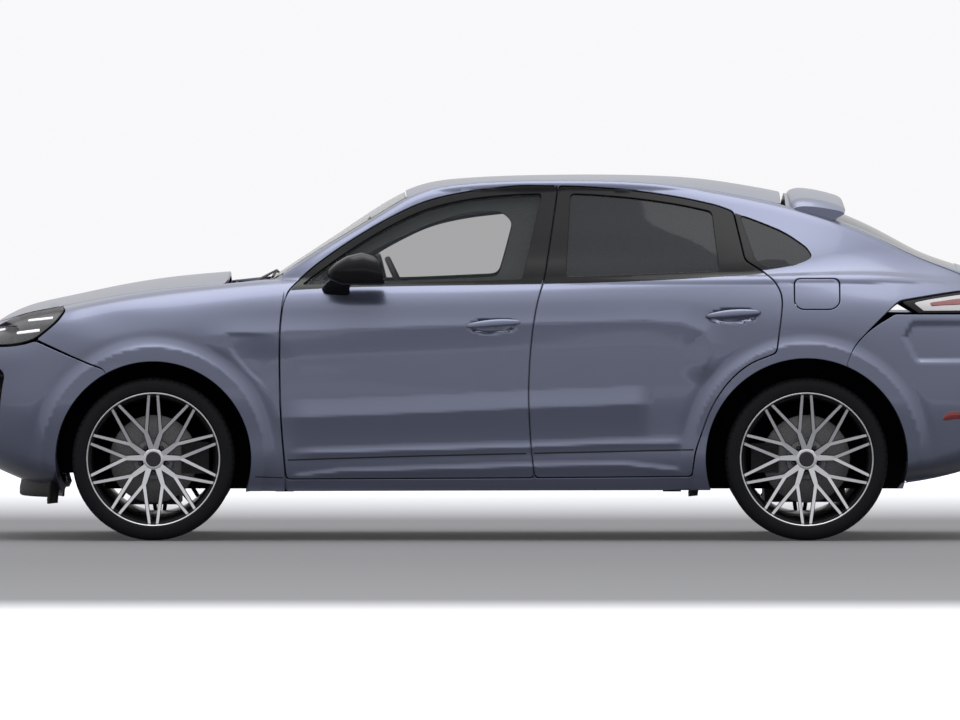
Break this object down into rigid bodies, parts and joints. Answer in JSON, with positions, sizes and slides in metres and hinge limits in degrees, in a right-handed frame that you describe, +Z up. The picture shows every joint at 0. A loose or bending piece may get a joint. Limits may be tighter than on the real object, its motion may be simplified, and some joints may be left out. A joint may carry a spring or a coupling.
{
  "type": "coupe sport utility vehicle",
  "caption": "Large coupe sport utility vehicle with a sloping rear roof, four side doors, hinged hood and tailgate, steered front wheels and a hollow furnished cabin.",
  "frame": {"origin": "centre of the footprint of the bounding box, on the floor under the middle of the car", "axes": "+X to the rear along the car, +Y to the car right side, +Z up"},
  "size_m": [4.93, 2.19, 1.6179],
  "materials": {
    "paint": "gloss",
    "roof_glass": "gloss",
    "clear_glass": "clear",
    "tinted_glass": "tinted",
    "lamp": "clear",
    "tail_lamp": "clear",
    "black_trim": "matt",
    "gloss_black": "gloss",
    "underbody": "matt",
    "cast": "satin",
    "cabin": "satin",
    "tyre": "matt",
    "rim": "machined"
  },
  "bodies": {
    "body": {"body_sides": "paint", "underbody": "underbody", "front_fenders": "paint", "front_bumper": "paint", "grille": "black_trim", "headlamps": "lamp", "rear_bumper": "paint", "tail_lamps": "tail_lamp", "roof_panel": "roof_glass", "windscreen": "clear_glass", "quarter_windows": "tinted_glass", "cowl": "black_trim", "engine_block": "cast", "axle_carriers": "cast", "dashboard": "cabin", "front_seats": "cabin", "rear_bench": "cabin"},
    "hood": {"hood": "paint"},
    "tailgate": {"tailgate": "paint", "rear_glass": "tinted_glass", "roof_spoiler": "paint", "tail_light_bar": "tail_lamp"},
    "front_door_left": {"front_door_left": "paint", "front_door_glass_left": "clear_glass", "mirror_left": "gloss_black"},
    "front_door_right": {"front_door_right": "paint", "front_door_glass_right": "clear_glass", "mirror_right": "gloss_black"},
    "rear_door_left": {"rear_door_left": "paint", "rear_door_glass_left": "tinted_glass"},
    "rear_door_right": {"rear_door_right": "paint", "rear_door_glass_right": "tinted_glass"},
    "front_knuckle_left": {"front_knuckle_left": "cast"},
    "front_knuckle_right": {"front_knuckle_right": "cast"},
    "wheel_front_left": {"tyre_front_left": "tyre", "rim_front_left": "rim"},
    "wheel_front_right": {"tyre_front_right": "tyre", "rim_front_right": "rim"},
    "wheel_rear_left": {"tyre_rear_left": "tyre", "rim_rear_left": "rim"},
    "wheel_rear_right": {"tyre_rear_right": "tyre", "rim_rear_right": "rim"},
    "charge_flap": {"charge_flap": "paint"},
    "fuel_flap": {"fuel_flap": "paint"},
    "steering_wheel": {"steering_wheel": "cabin"}
  },
  "joints": [
    {"name": "front_door_left_hinge", "type": "hinge", "parent": "body", "child": "front_door_left", "pos_m": [-0.957, -0.943, 0.67], "axis": [0, 0, -1], "range_deg": [0, 66]},
    {"name": "rear_door_left_hinge", "type": "hinge", "parent": "body", "child": "rear_door_left", "pos_m": [0.148, -0.943, 0.67], "axis": [0, 0, -1], "range_deg": [0, 68]},
    {"name": "steer_left", "type": "hinge", "parent": "body", "child": "front_knuckle_left", "pos_m": [-1.58, -0.752, 0.361], "axis": [0, 0, 1], "range_deg": [-32, 32]},
    {"name": "wheel_front_left_spin", "type": "hinge", "parent": "front_knuckle_left", "child": "wheel_front_left", "pos_m": [-1.58, -0.832, 0.361], "axis": [0, 1, 0], "continuous": true},
    {"name": "wheel_rear_left_spin", "type": "hinge", "parent": "body", "child": "wheel_rear_left", "pos_m": [1.315, -0.832, 0.361], "axis": [0, 1, 0], "continuous": true},
    {"name": "front_door_right_hinge", "type": "hinge", "parent": "body", "child": "front_door_right", "pos_m": [-0.957, 0.943, 0.67], "axis": [0, 0, 1], "range_deg": [0, 66]},
    {"name": "rear_door_right_hinge", "type": "hinge", "parent": "body", "child": "rear_door_right", "pos_m": [0.148, 0.943, 0.67], "axis": [0, 0, 1], "range_deg": [0, 68]},
    {"name": "steer_right", "type": "hinge", "parent": "body", "child": "front_knuckle_right", "pos_m": [-1.58, 0.752, 0.361], "axis": [0, 0, 1], "range_deg": [-32, 32]},
    {"name": "wheel_front_right_spin", "type": "hinge", "parent": "front_knuckle_right", "child": "wheel_front_right", "pos_m": [-1.58, 0.832, 0.361], "axis": [0, 1, 0], "continuous": true},
    {"name": "wheel_rear_right_spin", "type": "hinge", "parent": "body", "child": "wheel_rear_right", "pos_m": [1.315, 0.832, 0.361], "axis": [0, 1, 0], "continuous": true},
    {"name": "hood_hinge", "type": "hinge", "parent": "body", "child": "hood", "pos_m": [-1.24, 0, 1.13], "axis": [0, 1, 0], "range_deg": [0, 48]},
    {"name": "tailgate_hinge", "type": "hinge", "parent": "body", "child": "tailgate", "pos_m": [1.218, 0, 1.533], "axis": [0, -1, 0], "range_deg": [0, 68]},
    {"name": "charge_flap_hinge", "type": "hinge", "parent": "body", "child": "charge_flap", "pos_m": [1.292, -0.9185, 1.0894], "axis": [0, -0.538, -0.843], "range_deg": [0, 85]},
    {"name": "fuel_flap_hinge", "type": "hinge", "parent": "body", "child": "fuel_flap", "pos_m": [1.292, 0.9185, 1.0894], "axis": [0, -0.538, 0.843], "range_deg": [0, 85]},
    {"name": "steering_wheel_turn", "type": "hinge", "parent": "body", "child": "steering_wheel", "pos_m": [-0.47, -0.4, 1.085], "axis": [0.9063, 0, 0.4226], "range_deg": [-450, 450]}
  ],
  "couplings": [
    {"joint": "steer_right", "follows": "steer_left", "ratio": 1}
  ]
}
